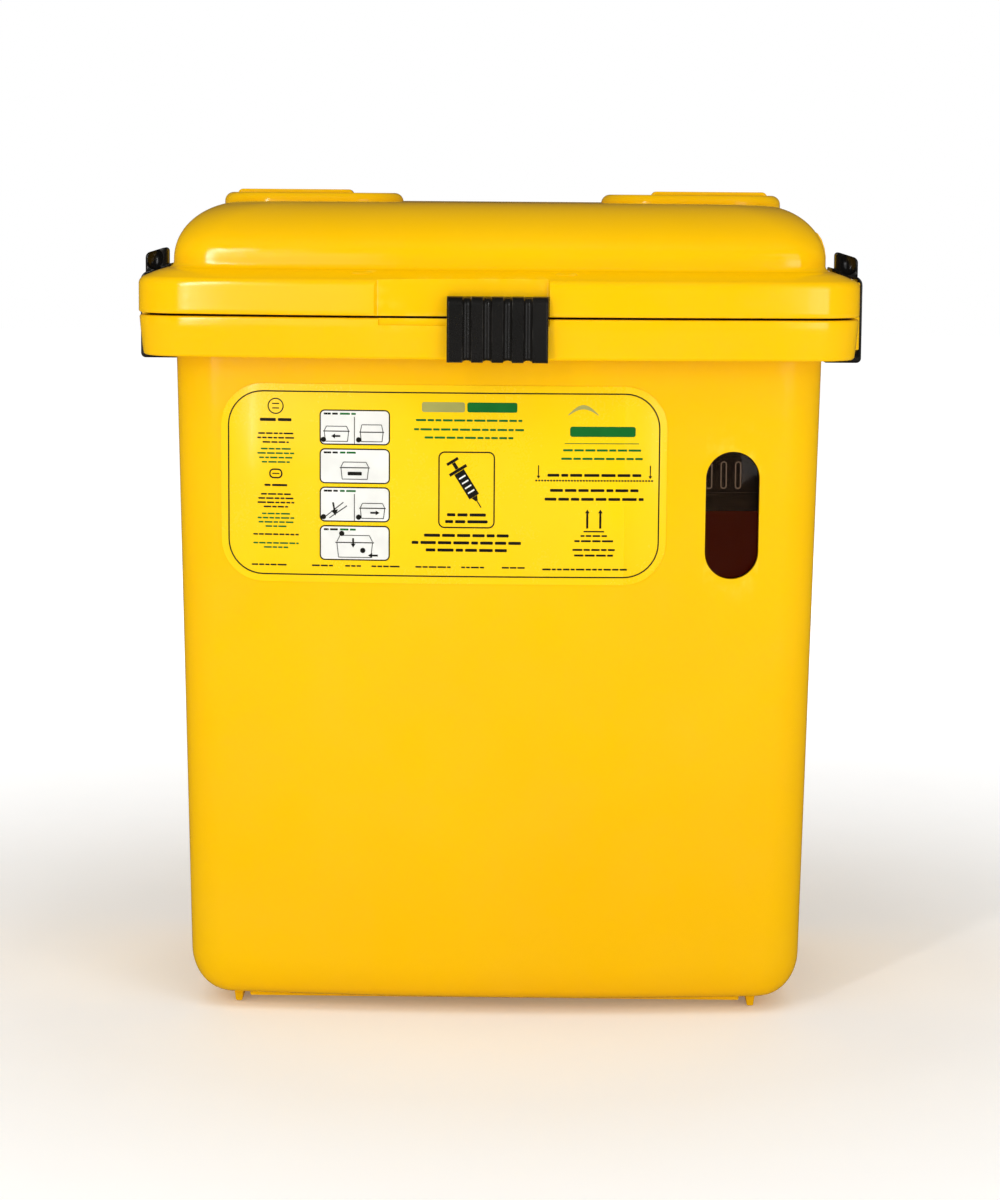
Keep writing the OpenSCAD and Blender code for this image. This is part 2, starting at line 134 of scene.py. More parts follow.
def wall_y(x, z, out=0.0):
    """Front wall's outer face, out mm proud of it."""
    return bow(x) - FRONT - FRONT_LEAN * (z - WALL_FOOT) / WALL_HEIGHT - out


def stadium(w, h, n=24):
    """Slot outline of width w and height h, with round ends."""
    r = w / 2
    turn = [math.pi * i / n for i in range(n + 1)]
    pts = [(r * math.cos(a), h / 2 - r + r * math.sin(a)) for a in turn]
    pts += [(-r * math.cos(a), r - h / 2 - r * math.sin(a)) for a in turn]
    return pts


def rounded(points, radius, n=5):
    """A polygon with its corners rounded; radius is one number or one per corner."""
    out = []
    m = len(points)
    for i, p in enumerate(points):
        r = radius[i] if isinstance(radius, (list, tuple)) else radius
        p = Vector(p)
        a = Vector(points[i - 1]) - p
        b = Vector(points[(i + 1) % m]) - p
        if r <= 0:
            out.append(tuple(p))
            continue
        ang = a.angle(b)
        d = min(r / math.tan(ang / 2), a.length * 0.49, b.length * 0.49)
        r = d * math.tan(ang / 2)
        a.normalize()
        b.normalize()
        c = p + (a + b).normalized() * (r / math.sin(ang / 2))
        s, e = p + a * d - c, p + b * d - c
        t0 = math.atan2(s.y, s.x)
        turn = (math.atan2(e.y, e.x) - t0 + math.pi) % (2 * math.pi) - math.pi
        for j in range(n + 1):
            t = t0 + turn * j / n
            out.append((c.x + r * math.cos(t), c.y + r * math.sin(t)))
    return out


# ---------------------------------------------------------------- mesh making

def new_object(name, verts, faces, smooth=30, merge=True):
    me = bpy.data.meshes.new(name)
    me.from_pydata([tuple(Vector(v) * S) for v in verts], [], faces)
    bm = bmesh.new()
    bm.from_mesh(me)
    if merge:
        bmesh.ops.remove_doubles(bm, verts=bm.verts, dist=1e-6)
    bmesh.ops.recalc_face_normals(bm, faces=bm.faces)
    bm.to_mesh(me)
    bm.free()
    ob = bpy.data.objects.new(name, me)
    bpy.context.scene.collection.objects.link(ob)
    shade(ob, smooth)
    return ob


def shade(ob, angle=30):
    ob.data.shade_smooth()
    ob.data.set_sharp_from_angle(angle=math.radians(angle))


def loft(name, rings, smooth=30):
    """Closed skin over rings of equal length, with a flat cap on the first and the last."""
    n = len(rings[0])
    verts = [p for ring in rings for p in ring]
    faces = []
    for k in range(len(rings) - 1):
        for i in range(n):
            j = (i + 1) % n
            faces.append((k * n + i, k * n + j, (k + 1) * n + j, (k + 1) * n + i))
    faces.append(tuple(range(n)))
    faces.append(tuple(range((len(rings) - 1) * n, len(rings) * n)))
    return new_object(name, verts, faces, smooth)


def prism(name, points, lo, hi, axis, smooth=30):
    """Polygon run from lo to hi along an axis. Axis 'x' takes (y, z), 'y' takes (x, z), 'z' takes (x, y)."""
    place = {"x": lambda p, t: (t, p[0], p[1]),
             "y": lambda p, t: (p[0], t, p[1]),
             "z": lambda p, t: (p[0], p[1], t)}[axis]
    n = len(points)
    verts = [place(p, lo) for p in points] + [place(p, hi) for p in points]
    faces = [tuple(range(n)), tuple(range(2 * n - 1, n - 1, -1))]
    faces += [(i, (i + 1) % n, n + (i + 1) % n, n + i) for i in range(n)]
    return new_object(name, verts, faces, smooth)


def block(name, lo, hi):
    return prism(name, [(lo[0], lo[1]), (hi[0], lo[1]), (hi[0], hi[1]), (lo[0], hi[1])], lo[2], hi[2], "z")


def tube(name, axis, at, r, lo, hi, n=48):
    return prism(name, circle(*at, r, n), lo, hi, axis)


def move(ob, matrix):
    """Move a mesh's points by a matrix, and keep its faces outward if that mirrors it."""
    ob.data.transform(matrix)
    if matrix.determinant() < 0:
        ob.data.flip_normals()
    return ob


def apply_modifiers(ob):
    dg = bpy.context.evaluated_depsgraph_get()
    me = bpy.data.meshes.new_from_object(ob.evaluated_get(dg), depsgraph=dg)
    ob.modifiers.clear()
    old = ob.data
    ob.data = me
    bpy.data.meshes.remove(old)


def combine(ob, tools, operation, smooth=30):
    """Boolean with a list of tool objects, which are removed afterwards."""
    col = bpy.data.collections.new("tools")
    bpy.context.scene.collection.children.link(col)
    for t in tools:
        col.objects.link(t)
    m = ob.modifiers.new("b", "BOOLEAN")
    m.operation = operation
    m.operand_type = "COLLECTION"
    m.collection = col
    m.solver = "EXACT"
    m.use_self = True
    apply_modifiers(ob)
    for t in tools:
        bpy.data.objects.remove(t)
    bpy.data.collections.remove(col)
    clean(ob)
    shade(ob, smooth)
    return ob


def clean(ob):
    """Merge the doubled points and drop the slivers that a boolean leaves."""
    bm = bmesh.new()
    bm.from_mesh(ob.data)
    bmesh.ops.remove_doubles(bm, verts=bm.verts, dist=2e-6)
    bmesh.ops.dissolve_degenerate(bm, edges=bm.edges, dist=2e-6)
    bm.to_mesh(ob.data)
    bm.free()


def bevel(ob, width, segments=3, angle=35, smooth=40):
    m = ob.modifiers.new("bevel", "BEVEL")
    m.width = width * S
    m.segments = segments
    m.limit_method = "ANGLE"
    m.angle_limit = math.radians(angle)
    m.harden_normals = False
    m.use_clamp_overlap = True
    apply_modifiers(ob)
    shade(ob, smooth)
    return ob


def smoothstep(a, b, x):
    """Rise from 0 at a to 1 at b, level at both ends."""
    t = min(max((x - a) / (b - a), 0), 1)
    return t * t * (3 - 2 * t)


def both(make):
    """The tools that make(side) gives for the right (1) and the left (-1)."""
    return make(1) + make(-1)


# ---------------------------------------------------------------- materials

def srgb(r, g, b):
    """Linear colour from screen values of 0 to 255."""
    parts = [c / 255 for c in (r, g, b)]
    return tuple(c / 12.92 if c <= 0.0404 else ((c + 0.055) / 1.055) ** 2.4 for c in parts) + (1.0,)


def set_inputs(mat, **inputs):
    """Set sockets of a material's shader. Underscores stand for the spaces in their names."""
    for name, value in inputs.items():
        mat.node_tree.nodes["Principled BSDF"].inputs[name.replace("_", " ")].default_value = value


def material(name, color, rough, second, patch=9.0, grain=900.0, grain_height=0.02, scuff=0.06, metal=0.0,
             coat=0.0, coat_rough=0.1, specular=0.5, brushed=None, subsurface=0.0, wear=None):
    """Plastic or metal with uneven colour, moulded grain, and patchy gloss from handling."""
    m = bpy.data.materials.new(name)
    m.use_nodes = True
    nt = m.node_tree
    bsdf = nt.nodes["Principled BSDF"]
    set_inputs(m, Metallic=metal, Specular_IOR_Level=specular, Coat_Weight=coat, Coat_Roughness=coat_rough,
               Subsurface_Weight=subsurface, Subsurface_Radius=(0.004, 0.0022, 0.0004), Subsurface_Scale=1.0)
    co = nt.nodes.new("ShaderNodeTexCoord")

    def noise(scale, detail=3.0, stretch=None):
        n = nt.nodes.new("ShaderNodeTexNoise")
        n.inputs["Scale"].default_value = scale
        n.inputs["Detail"].default_value = detail
        if stretch:
            mp = nt.nodes.new("ShaderNodeMapping")
            mp.inputs["Scale"].default_value = stretch
            nt.links.new(co.outputs["Object"], mp.inputs["Vector"])
            nt.links.new(mp.outputs["Vector"], n.inputs["Vector"])
        else:
            nt.links.new(co.outputs["Object"], n.inputs["Vector"])
        return n.outputs["Fac"]

    def ramp(src, lo, hi, a, b):
        r = nt.nodes.new("ShaderNodeMapRange")
        r.inputs["From Min"].default_value = lo
        r.inputs["From Max"].default_value = hi
        r.inputs["To Min"].default_value = a
        r.inputs["To Max"].default_value = b
        nt.links.new(src, r.inputs["Value"])
        return r.outputs["Result"]

    def mix(fac, a, b):
        x = nt.nodes.new("ShaderNodeMix")
        x.data_type = "RGBA"
        nt.links.new(fac, x.inputs["Factor"])
        for value, socket in ((a, x.inputs["A"]), (b, x.inputs["B"])):
            if isinstance(value, tuple):
                socket.default_value = value
            else:
                nt.links.new(value, socket)
        return x.outputs["Result"]

    col = mix(ramp(noise(patch), 0.35, 0.65, 0.0, 1.0), color, second)
    fine = noise(grain, 2.0, brushed)
    if wear:
        geo = nt.nodes.new("ShaderNodeNewGeometry")
        edge = ramp(geo.outputs["Pointiness"], 0.515, 0.56, 0.0, 0.55)
        broken = nt.nodes.new("ShaderNodeMath")
        broken.operation = "MULTIPLY"
        nt.links.new(edge, broken.inputs[0])
        nt.links.new(ramp(noise(140.0, 4.0), 0.45, 0.7, 0.0, 1.0), broken.inputs[1])
        col = mix(broken.outputs[0], col, wear)
    nt.links.new(col, bsdf.inputs["Base Color"])
    blotch = ramp(noise(26.0, 5.0), 0.3, 0.7, rough - scuff, rough + scuff)
    add = nt.nodes.new("ShaderNodeMath")
    nt.links.new(blotch, add.inputs[0])
    nt.links.new(ramp(fine, 0.3, 0.7, -0.03, 0.03), add.inputs[1])
    nt.links.new(add.outputs[0], bsdf.inputs["Roughness"])
    bump = nt.nodes.new("ShaderNodeBump")
    bump.inputs["Strength"].default_value = 1.0
    bump.inputs["Distance"].default_value = grain_height * S
    nt.links.new(fine, bump.inputs["Height"])
    nt.links.new(bump.outputs["Normal"], bsdf.inputs["Normal"])
    return m


def ink(name, color, second, rough=0.38, specular=0.2):
    return material(name, color, rough, second, patch=60.0, grain=1500.0, grain_height=0.003,
                    specular=specular)


YELLOW, DEEP = srgb(255, 198, 0), srgb(252, 192, 0)
yellow = material("yellow_plastic", YELLOW, 0.13, DEEP, patch=5.0, grain=260.0, grain_height=0.005,
                  scuff=0.03, specular=0.42, wear=srgb(255, 214, 60))
inner = material("yellow_inside_painted_glow", YELLOW, 0.42, DEEP, patch=6.0, grain=500.0, grain_height=0.02)
set_inputs(inner, Emission_Color=srgb(108, 38, 8), Emission_Strength=0.15)  # painted glow, standing in for light that comes through the walls
film = material("label_film", srgb(255, 213, 0), 0.24, srgb(255, 208, 0), patch=12.0, grain=700.0,
                grain_height=0.004, specular=0.3, coat=0.06, coat_rough=0.06)
ink_black = ink("ink_black", srgb(20, 18, 13), srgb(28, 26, 18))
ink_grey = ink("ink_grey", srgb(168, 166, 92), srgb(160, 158, 86))
ink_green = ink("ink_green", srgb(4, 104, 34), srgb(8, 112, 40), 0.36)
ink_white = ink("ink_white", srgb(242, 242, 236), srgb(232, 232, 226), 0.36, 0.5)
grained = material("black_grained", srgb(19, 18, 16), 0.3, srgb(26, 24, 22), patch=30.0, grain=1500.0,
                   grain_height=0.022, specular=0.32, wear=srgb(96, 92, 86))
glossy = material("black_gloss", srgb(10, 9, 8), 0.22, srgb(15, 14, 13), patch=30.0, grain=800.0,
                  grain_height=0.006, specular=0.3, coat=0.1, wear=srgb(90, 86, 80))
chute_black = material("black_chute", srgb(34, 33, 31), 0.34, srgb(37, 36, 34), patch=12.0, grain=1300.0,
                       scuff=0.02, wear=srgb(120, 116, 110))
rim_grey = material("black_slot_rims_painted_glow", srgb(104, 101, 97), 0.3, srgb(88, 85, 81), patch=60.0, grain=1300.0,
                    grain_height=0.01)
set_inputs(rim_grey, Emission_Color=srgb(150, 147, 143), Emission_Strength=1.0)  # painted glow, standing in for light inside the bin
rubber = material("black_rubber", srgb(31, 31, 30), 0.72, srgb(35, 35, 34), patch=14.0, grain=1800.0,
                  grain_height=0.03, specular=0.3)
acetal = material("acetal", srgb(222, 216, 198), 0.4, srgb(212, 205, 186), patch=60.0, grain=1200.0,
                  grain_height=0.01, subsurface=0.1)
steel = material("ground_steel", srgb(190, 192, 195), 0.26, srgb(168, 170, 174), patch=40.0,
                 grain_height=0.01, metal=1.0, brushed=(0.04, 1.0, 1.0))
zinc = material("zinc_steel", srgb(178, 180, 176), 0.34, srgb(160, 164, 158), patch=300.0, grain=1500.0,
                grain_height=0.01, metal=1.0)
spring = material("spring_steel", srgb(112, 112, 116), 0.36, srgb(92, 92, 98), patch=90.0, grain=1500.0,
                  grain_height=0.01, metal=1.0)
bar = material("drawn_bar", srgb(128, 130, 133), 0.4, srgb(108, 108, 110), patch=24.0, metal=1.0,
               brushed=(0.03, 1.0, 1.0))
pane = material("window_tint", srgb(178, 154, 132), 0.05, srgb(172, 148, 126), patch=30.0, grain=300.0,
                grain_height=0.002, scuff=0.01)
set_inputs(pane, Transmission_Weight=1.0, IOR=1.2)
pale_floor = material("pale_floor", srgb(250, 250, 249), 0.7, srgb(248, 248, 247), patch=3.0, grain=200.0,
                      specular=0.1)


def glow_with_distance(mat):
    """Let the floor glow softly far from the object, so that it meets the white room without a line."""
    set_inputs(mat, Emission_Color=(1.0, 1.0, 1.0, 1.0))
    nt = mat.node_tree
    spot = nt.nodes.new("ShaderNodeTexCoord")
    reach = nt.nodes.new("ShaderNodeVectorMath")
    reach.operation = "LENGTH"
    glow = nt.nodes.new("ShaderNodeMapRange")
    for socket, value in (("From Min", 0.3), ("From Max", 1.3), ("To Min", 0.12), ("To Max", 0.66)):
        glow.inputs[socket].default_value = value
    nt.links.new(spot.outputs["Object"], reach.inputs[0])
    nt.links.new(reach.outputs["Value"], glow.inputs["Value"])
    nt.links.new(glow.outputs["Result"], nt.nodes["Principled BSDF"].inputs["Emission Strength"])


glow_with_distance(pale_floor)


def finish_piece(ob, body_name, mat, slot, *nodes):
    """Give a piece its material and body, and hide the nodes it replaces. The slot argument is not used."""
    ob.data.materials.clear()
    ob.data.materials.append(mat)
    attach(ob, body_name)
    if nodes:
        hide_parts(*nodes)
    return ob


# ---------------------------------------------------------------- bin

def edge_arc(z, inset, r, t0, t1, n, ring):
    """Rings round an edge, whose centre is at height z and an inset.

    The radius r is one number, or one across and one up. Angles are in degrees from outward to up."""
    across, up = r if isinstance(r, tuple) else (r, r)
    angles = [math.radians(t0 + (t1 - t0) * i / n) for i in range(n + 1)]
    return [ring(z + up * math.sin(a), inset - across * math.cos(a)) for a in angles]


def bin_mesh():
    """Skin of the bin: up the outside, round the flange and down the inside."""
    rings = [body(7, 70)]
    rings += edge_arc(33, 21, (21, 26), -90, 0, 14, body)
    rings += [body(z, 0) for z in (70, 120, 180, 240, 300, 350, 385)]
    rings += edge_arc(398, -3, 3, 180, 90, 4, body)
    rings += [flange(401, 12), flange(401, 5.5)]
    rings += [flange(397, 4.2), flange(388, 5.4), flange(383, 6.4), flange(381.5, 6.6)]
    rings += edge_arc(383.1, 4.5, (2.1, 2.0), -90, -5, 6, flange)
    rings += [flange(388, 1.8), flange(396, 1.0)]
    rings += edge_arc(402.6, 1.8, (1.4, 1.4), 0, 90, 4, flange)
    rings += [flange(404, 10), body(404, -1.2)]
    rings += edge_arc(402.8, 1.2, 1.2, 90, 180, 3, body)
    rings += [body(z, 3) for z in (400, 350, 300, 240, 180, 120, 70)]
    rings += list(reversed(edge_arc(36, 21, (18, 26), -90, 0, 12, body)))
    rings += [body(10, 70)]
    return loft("bin_wall", rings, 32)


bin_wall = bin_mesh()


def pads(z0, z1):
    """Flat pads on the flange's sides, where the side locks run."""
    def side(s):
        pts = [(203 * s, -60), (210.8 * s, -50), (210.8 * s, 40), (203 * s, 50)]
        pts = rounded(pts, [0, 5, 5, 0], 5)
        return [bevel(prism("pad", pts, z0, z1, "z"), 0.9, 3)]
    return both(side)


def runners(s):
    """Thin runner under one side of the bin."""
    sec = [(148.6 * s, 0), (152.4 * s, 0), (154 * s, 12), (147 * s, 12)]
    return [bevel(prism("runner", sec, -95, 100, "y"), 0.8, 2)]


def on_pin(s, r, a, b, n=48):
    """Cylinder of radius r on the hinge's axis, from a to b on side s."""
    return tube("on_pin", "x", (PIN_Y, PIN_Z), r, *span(s, a, b), n)


def at_screws(s, r, lo, hi, n):
    """Upright cylinders at the two chute screws of side s."""
    return [tube("at_screw", "z", (SCREW_X * s, y), r, lo, hi, n) for y in (-SCREW_Y, SCREW_Y)]


base = bevel(block("base", (-143.5, -100, 4.5), (143.5, 105, 9)), 1.0, 3)
knuckles = both(lambda s: [on_pin(s, KNUCKLE_R, HINGE_X + d - 7.5, HINGE_X + d + 7.5) for d in (-17.5, 17.5)])
bosses = both(lambda s: at_screws(s, 3.6, 392, 402.5, 24))
combine(bin_wall, pads(383.5, 403.2) + both(runners) + [base] + knuckles + bosses, "UNION")

window_at = (Matrix.Translation(Vector((WINDOW_X, wall_y(WINDOW_X, WINDOW_Z) + 3, WINDOW_Z)) * S)
             @ Matrix.Rotation(math.asin(WINDOW_X / BOW), 4, "Z")
             @ Matrix.Rotation(math.atan(FRONT_LEAN / WALL_HEIGHT), 4, "X"))


def at_window(ob):
    """Move a piece drawn at the origin to the window, square to the wall."""
    return move(ob, window_at)


cuts = [at_window(prism("slot", stadium(SLOT_W, SLOT_H, 32), -12, 12, "y"))]
cuts += both(lambda s: [on_pin(s, 4.4, 125, 127.5, 32)])
cuts += both(lambda s: [on_pin(s, 2.52, 74, 126, 32), on_pin(s, 7.6, 90, 110)]
             + at_screws(s, 1.55, 393, 406, 16))
strip = [(-68.5, -157), (28.8, -157)]
strip += [(x, bow(x) - 153.1) for x in (28.8, 12, -4, -20, -36, -52, -66)]
cuts.append(bevel(prism("strip", strip, 400.1, 407, "z"), 0.35, 2))
cuts.append(block("finger", (-28.8, -149.4, 398), (25.4, -144.4, 407)))
combine(bin_wall, cuts, "DIFFERENCE")
bin_wall.data.materials.append(yellow)
bin_wall.data.materials.append(inner)
# faces inside the bin take the second material, whose emission is a painted glow standing in for light through
# the walls
for face in bin_wall.data.polygons:
    c, n = face.center / S, face.normal
    inside = 9.5 < c.z < 402 and abs(c.x) < 182.4 and wall_y(c.x, c.z) + 2.6 < c.y < 132
    if inside and (n.z > 0.3 or c.x * n.x + c.y * n.y < 0):
        face.material_index = 1
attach(bin_wall, "bin")
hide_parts("bin_shell")

# ---------------------------------------------------------------- window

pane_ob = at_window(prism("pane", stadium(SLOT_W - 0.5, SLOT_H - 0.5, 32), -2.2, 1.65, "y"))
bevel(pane_ob, 0.5, 3)
lip = at_window(prism("lip", stadium(42, 84, 32), 1.6, 3.8, "y"))
combine(pane_ob, [lip], "UNION")
finish_piece(pane_ob, "bin", pane, "window_tint", "sight_window")

# ---------------------------------------------------------------- lid


def dome(t, inset=0.0):
    """Ring of the dome at angle t from its foot (0) to its top (90)."""
    c, s = math.cos(math.radians(t)), math.sin(math.radians(t))
    z = 434 + 33.8 * s ** 0.93
    k = math.sqrt(1 - (max(0.0, z - 436) / 32) ** 2)
    side = 150 + 35.5 * c ** 0.93 if t < 90 else 150
    r = 24 + 16 * (1 - k) - inset * c
    return outline(side - inset * c, 66 + 71.6 * k - inset * c, 98 + 37.4 * k - inset * c, r, r, z - inset * s)


def foot(i, n):
    """Ring of the fillet between the ledge and the foot of the dome."""
    t = math.pi / 2 * i / n
    x = 189 - 3.5 * math.sin(t)
    return outline(x, x - 47.9, x - 50.1, 24, 24, 430.4 + 3.6 * (1 - math.cos(t)))


def lid_mesh():
    """Skin of the lid: down the inside of the dome, round the flange and up the outside."""
    rings = [outline(70, 40, 70, 20, 20, 464.8)]
    rings += [dome(t, 3) for t in (90, 80, 70, 60, 50, 40, 30, 20, 10, 0)]
    rings += [outline(182.6, 134.7, 132.5, 21, 21, 431), flange(427.6, 15), flange(424, 5.4), flange(421, 3.2),
              flange(412, 3.0), flange(406, 3.0)]
    rings += edge_arc(406.4, 1.5, (1.5, 1.2), 180, 360, 8, flange)
    rings += [flange(408, 0), flange(414, 0), flange(420, 0)]
    rings += edge_arc(421.3, 4.8, 4.8, 0, 69, 8, flange)
    rings += [flange(428.4, 9.4)]
    rings += [foot(i, 6) for i in range(6)]
    rings += [dome(t) for t in (0, 2, 4, 7) + tuple(range(10, 91, 4))]
    rings += [outline(150 - d, 74 - d * 0.42, 102 - d * 0.42, 38.4 - d * 0.2, 38.4 - d * 0.2,
                      467.8 + 0.4 * math.sin(math.pi / 2 * d / 100)) for d in (8, 20, 40, 70, 100)]
    return loft("lid_wall", rings, 36)


lid_wall = lid_mesh()


def at_grip(s, ob):
    """Turn a piece drawn at the origin lengthwise and move it to the grip on side s."""
    centre = Vector((GRIP_X * s, GRIP_Y, 0)) * S
    return move(ob, Matrix.Translation(centre) @ Matrix.Rotation(math.pi / 2, 4, "Z"))


def at_grip_screws(s, r, lo, hi, n):
    """Upright cylinders at the four screws of the grip on side s."""
    return [tube("at_screw", "z", (GRIP_X * s + x, GRIP_Y + y), r, lo, hi, n)
            for x in (-20, 20) for y in (-30.6, 30.6)]


def mark(x):
    """Small raised oval on the ledge, tilted as the ledge is."""
    oval = bevel(prism("mark", [(v, u) for u, v in stadium(4.2, 11.5, 10)], -1, 0.7, "z"), 0.22, 2)
    return move(oval, Matrix.Translation(Vector((x, bow(x) - 144.8, 428.35)) * S)
                @ Matrix.Rotation(math.radians(21), 4, "X"))


adds = pads(406.0, 423.0)
adds.append(prism("backing", [(-151.3, 405.3), (-148, 405.3), (-148, 426.2), (-151.3, 424.4)], -71, 33, "x"))
cheek = [(192.4, 407.5), (202, 407.5), (202, 423.6), (200.2, 425.2), (192.4, 428.2)]
boss = [(184, 428), (192.4, 428), (192.4, 437.5), (191.6, 442.6), (189.8, 447.6), (187.2, 451.5),
        (180.6, 452.6), (183.4, 440)]
adds += both(lambda s: [prism("cheek", [(s * x, z) for x, z in cheek], -32, 20, "y"),
                        bevel(prism("boss", [(s * x, z) for x, z in boss], -26, 12, "y"), 1.0, 3)])
adds += both(lambda s: [on_pin(s, KNUCKLE_R, HINGE_X - 9.4, HINGE_X + 9.4)])
adds += both(lambda s: at_grip_screws(s, 2.3, 459.9, 466.5, 20))
adds += [mark(-76), mark(38)]
combine(lid_wall, adds, "UNION", 36)

recess = rounded([(-75.3, -160), (28.8, -160), (28.8, -151), (-67, -151)], [0, 0, 1.4, 1.6], 5)
cuts = [prism("recess", recess, 404, 440, "z"), block("neck", (-27.6, -151.2, 410.4), (20.2, -143, 416.4))]
for s in (1, -1):
    lo, hi = span(s, 195.6, 216)
    cuts.append(block("notch", (lo, -29, 404), (hi, 17, 445)))
seat = stadium(GRIP_W + 0.2, GRIP_LENGTH + 0.2, 32)
cuts += both(lambda s: [at_grip(s, prism("seat", seat, 466.4, 480, "z"))])
combine(lid_wall, cuts, "DIFFERENCE", 36)

cuts = both(lambda s: [at_grip(s, prism("hole", stadium(56.8, 98.3, 24), 436, 478, "z"))])
cuts += both(lambda s: [on_pin(s, 7.6, HINGE_X + d - 8.1, HINGE_X + d + 8.1 + extra)
                        for d, extra in ((-17.5, 0), (17.5, 1.9))])
combine(lid_wall, cuts, "DIFFERENCE", 36)
cuts = both(lambda s: [on_pin(s, 2.56, 90, 110, 32)])
cuts += both(lambda s: at_grip_screws(s, 1.5, 459, 470, 16))
combine(lid_wall, cuts, "DIFFERENCE", 36)
finish_piece(lid_wall, "lid", yellow, "lid_plastic", "lid_shell")

# ---------------------------------------------------------------- grips


def grip_ring(inset, z, drop=lambda y: 0.0):
    """Slot-shaped ring of a grip, lowered where drop says."""
    points = stadium(GRIP_W - 2 * inset, GRIP_LENGTH - 2 * inset, 32)
    return [Vector((x, y, z - drop(y))) for x, y in points]


def grip_mesh(s):
    """Cup let into the dome, with a collar, a bar across it and a ridge on the bar."""
    cup_outside = ((8, 440), (6.2, 440.4), (5.3, 441.6), (5, 443), (5, 466.45))
    cup_inside = ((7.5, 446), (8.1, 443.8), (9.8, 442.7), (13, 442.5))
    rings = [grip_ring(inset, z) for inset, z in cup_outside]
    rings.append(grip_ring(0, 466.45, lambda y: 1.3 * smoothstep(40, 53, -s * y)))
    for degrees in range(0, 91, 9):
        a = math.radians(degrees)
        rings.append(grip_ring(5.4 - 5.4 * math.cos(a), 467.8 + 5.2 * math.sin(a)))
    for degrees in range(0, 91, 18):
        a = math.radians(degrees)
        rings.append(grip_ring(5.6 + 1.9 * math.sin(a), 471.1 + 1.9 * math.cos(a)))
    rings += [grip_ring(inset, z) for inset, z in cup_inside]
    cup = at_grip(s, loft("cup", rings, 30))
    x0 = GRIP_X * s
    sec = rounded([(1, 458), (15, 458), (15, 472.4), (1, 472.4)], 3.2, 6)
    grip_bar = prism("bar", sec, x0 - 48, x0 + 48, "x")
    lo, hi = sorted((x0 - 23.8 * s, x0 + 45.8 * s))
    top = rounded([(lo, 468), (hi, 468), (hi, 475), (lo, 475)], [0, 0, 3.2, 3.2], 7)
    ridge = bevel(prism("ridge", top, 2.6, 13.4, "y"), 1.6, 4, 60)
    return combine(cup, [grip_bar, ridge], "UNION", 34)


for s, side in ((1, "right"), (-1, "left")):
    g = grip_mesh(s)
    g.name = g.data.name = "grip_moulding_" + side
    finish_piece(g, "lid", yellow, "grip_plastic", "grip_" + side)

# ---------------------------------------------------------------- latch


def fall(distance, r):
    """How far an edge rounded to radius r has fallen back at a distance from it."""
    return r - math.sqrt(max(0, r ** 2 - (r - min(distance, r)) ** 2))


def latch_mesh():
    """Slider with five upright bands, skinned in columns from left to right."""
    half, columns = 28.2, 200
    pitch, groove_half, groove_depth = 11.3, 2.45, 1.9
    bottom, top_edge, front_y = 380, 416.6, -161

    def groove(x):
        """How deep the rounded grooves between the five bands are at x."""
        d = min(abs(x - k * pitch) for k in (-1.5, -0.5, 0.5, 1.5))
        return groove_depth * math.sqrt(max(0.0, 1 - (d / groove_half) ** 2)) if d < groove_half else 0.0

    def front(x, v):
        """Point of the front at x, v of the way up."""
        g = groove(x)
        low, high = bottom + 0.62 * g, top_edge - 0.28 * g
        z = low + (high - low) * v
        edge = max(fall(half - abs(x), 1.4), fall(z - low, 1.3))
        return (x, front_y + g + edge + fall(high - z, 4.4), z)

    heights = [0.0, 0.004, 0.012, 0.022] + [j / 64 for j in range(2, 56)]
    heights += [j / 100 for j in range(87, 99)] + [0.988, 0.994, 1.0]
    verts = []
    for i in range(columns + 1):
        x = -half + 2 * half * i / columns
        pts = [front(x, v) for v in heights]
        top, low = pts[-1][2], pts[0][2]
        pts += [(x, -151.35, top), (x, -151.35, 406.0), (x, -155.7, 405.4), (x, -155.7, low)]
        verts += pts
    k = len(pts)
    faces = []
    for i in range(columns):
        for j in range(k):
            a, b = i * k + j, i * k + (j + 1) % k
            faces.append((a, b, b + k, a + k))
    faces += [tuple(range(k)), tuple(range(columns * k, columns * k + k))]
    return new_object("latch_moulding", verts, faces, 42)


latch = latch_mesh()
combine(latch, [bevel(block("neck", (11.2, -152.2, 411), (19.6, -148.1, 415.8)), 0.4, 2)], "UNION", 42)
finish_piece(latch, "latch", grained, "latch_plastic", "latch_slider")

# ---------------------------------------------------------------- side locks


def ball(name, centre, radii):
    me = bpy.data.meshes.new(name)
    bm = bmesh.new()
    bmesh.ops.create_uvsphere(bm, u_segments=40, v_segments=28, radius=1)
    matrix = Matrix.Translation(Vector(centre) * S) @ Matrix.Diagonal((*(Vector(radii) * S), 1))
    bmesh.ops.transform(bm, matrix=matrix, verts=bm.verts)
    bm.to_mesh(me)
    bm.free()
    ob = bpy.data.objects.new(name, me)
    bpy.context.scene.collection.objects.link(ob)
    return ob


